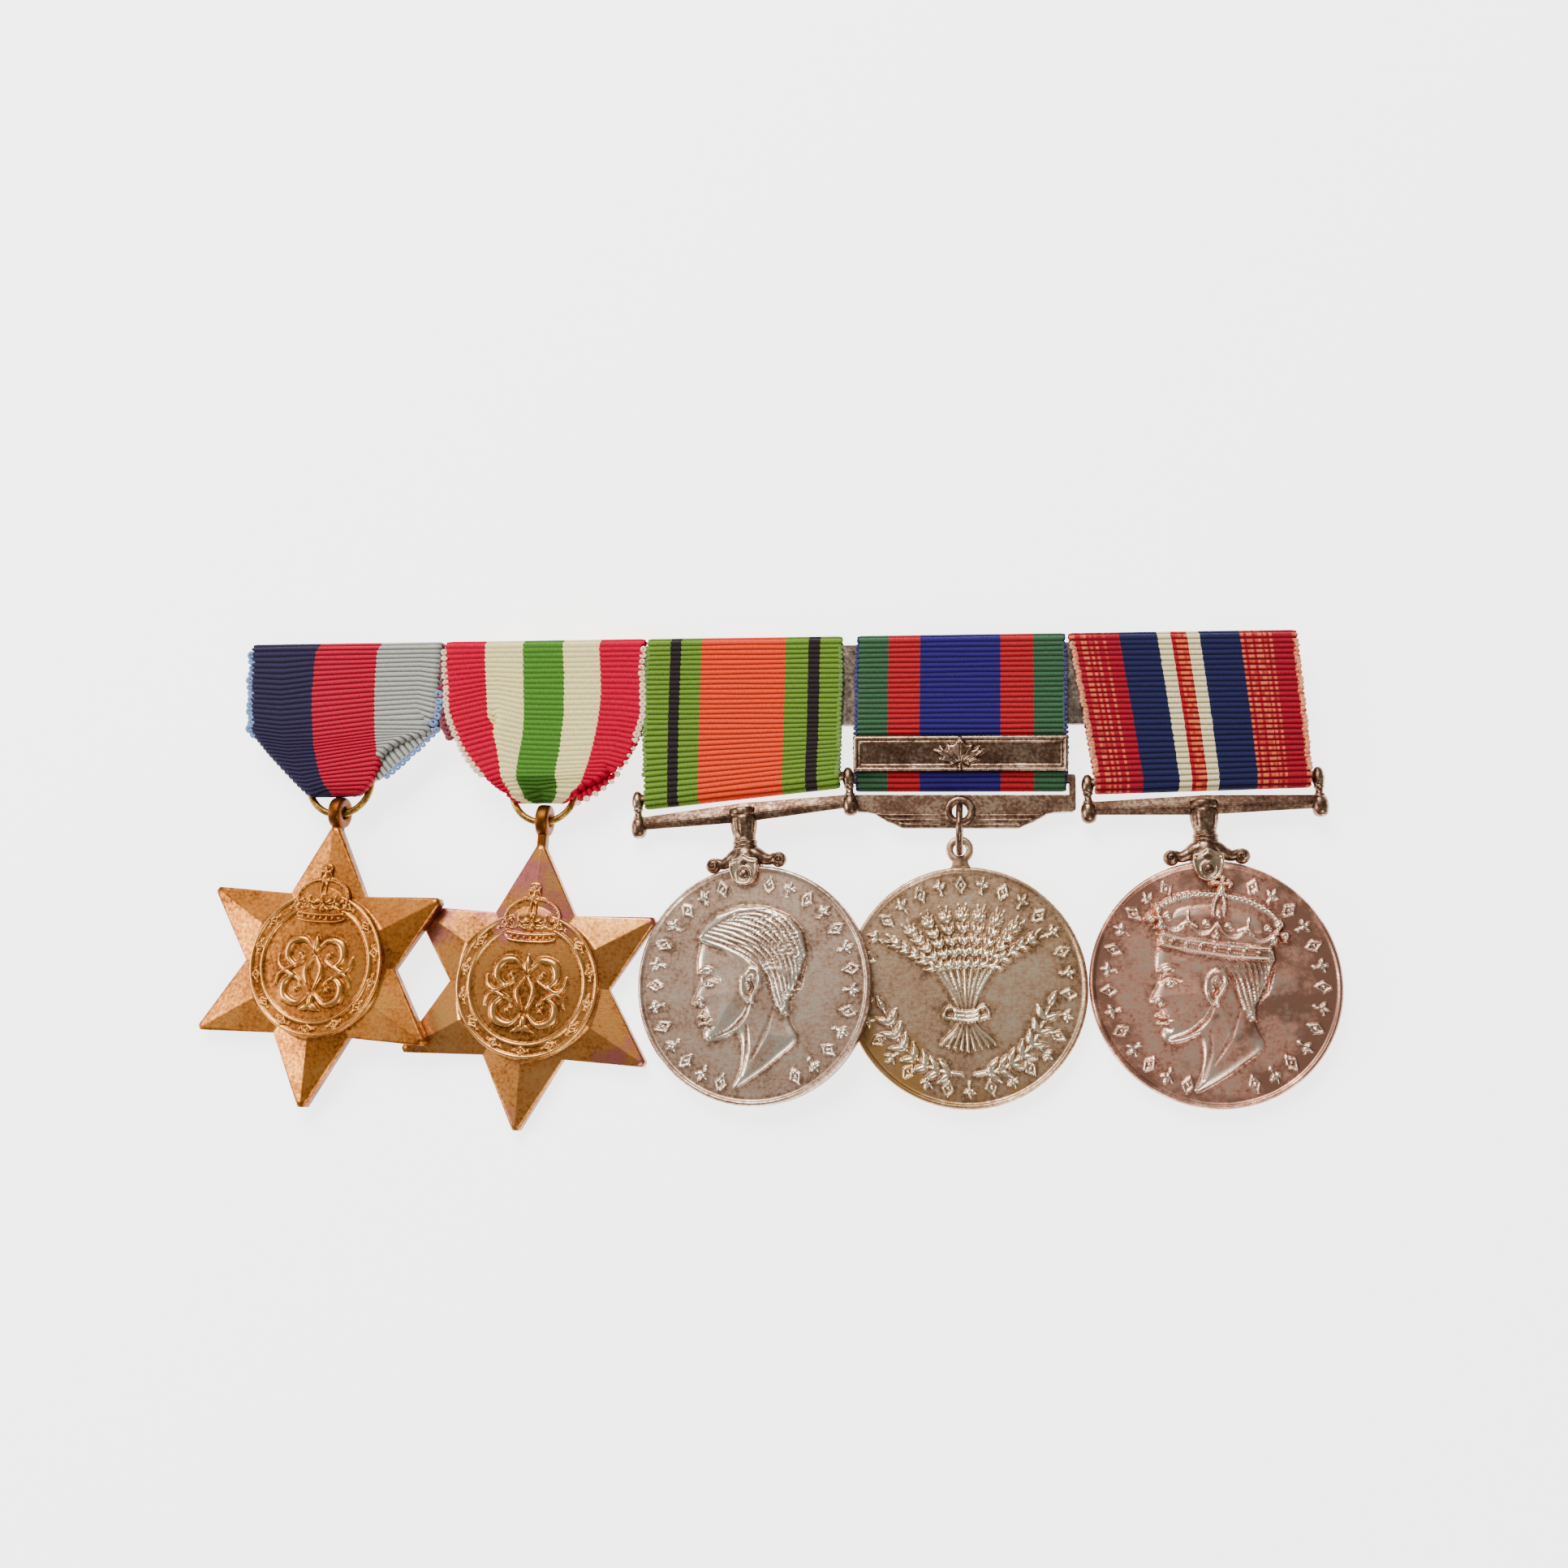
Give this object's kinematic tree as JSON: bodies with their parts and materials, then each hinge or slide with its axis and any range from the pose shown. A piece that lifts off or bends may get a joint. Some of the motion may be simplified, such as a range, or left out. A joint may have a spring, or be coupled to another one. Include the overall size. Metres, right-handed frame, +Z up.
{
  "type": "mounted medal group",
  "caption": "Swing-mounted group of star and round medals on striped ribbons over a brooch bar, lying flat.",
  "frame": {"origin": "under the middle of the ribbons' fold line, on the surface that the group lies on", "axes": "+X along the brooch towards the fifth medal, +Y towards the fold, +Z up from the surface"},
  "size_m": [0.1748, 0.0772, 0.0082],
  "materials": {
    "plate_steel": "tarnished",
    "pin_steel": "satin",
    "ribbon_blue_red_grey": "ribbed silk",
    "ribbon_red_cream_green": "ribbed silk",
    "ribbon_green_orange": "ribbed silk",
    "ribbon_green_red_blue": "ribbed silk",
    "ribbon_red_blue_cream": "ribbed silk",
    "ring_brass": "aged",
    "bronze": "satin",
    "toned_bronze": "satin, toned",
    "tarnished_silver": "tarnished",
    "toned_silver": "tarnished, golden toning",
    "stained_silver": "stained",
    "dark_silver": "tarnished"
  },
  "bodies": {
    "root": {"brooch_plate": "plate_steel", "brooch_pin": "pin_steel", "ribbon_1": "ribbon_blue_red_grey", "ribbon_2": "ribbon_red_cream_green", "ribbon_3": "ribbon_green_orange", "ribbon_4": "ribbon_green_red_blue", "ribbon_5": "ribbon_red_blue_cream", "ring_1": "ring_brass", "ring_2": "ring_brass", "star_1": "bronze", "star_2": "toned_bronze", "suspender_3": "dark_silver", "suspender_5": "dark_silver", "rivet_3": "dark_silver", "rivet_5": "dark_silver", "disc_3": "tarnished_silver", "disc_4": "toned_silver", "disc_5": "stained_silver", "suspension_bar_4": "dark_silver", "ring_4": "dark_silver", "clasp_4": "dark_silver"}
  },
  "joints": []
}
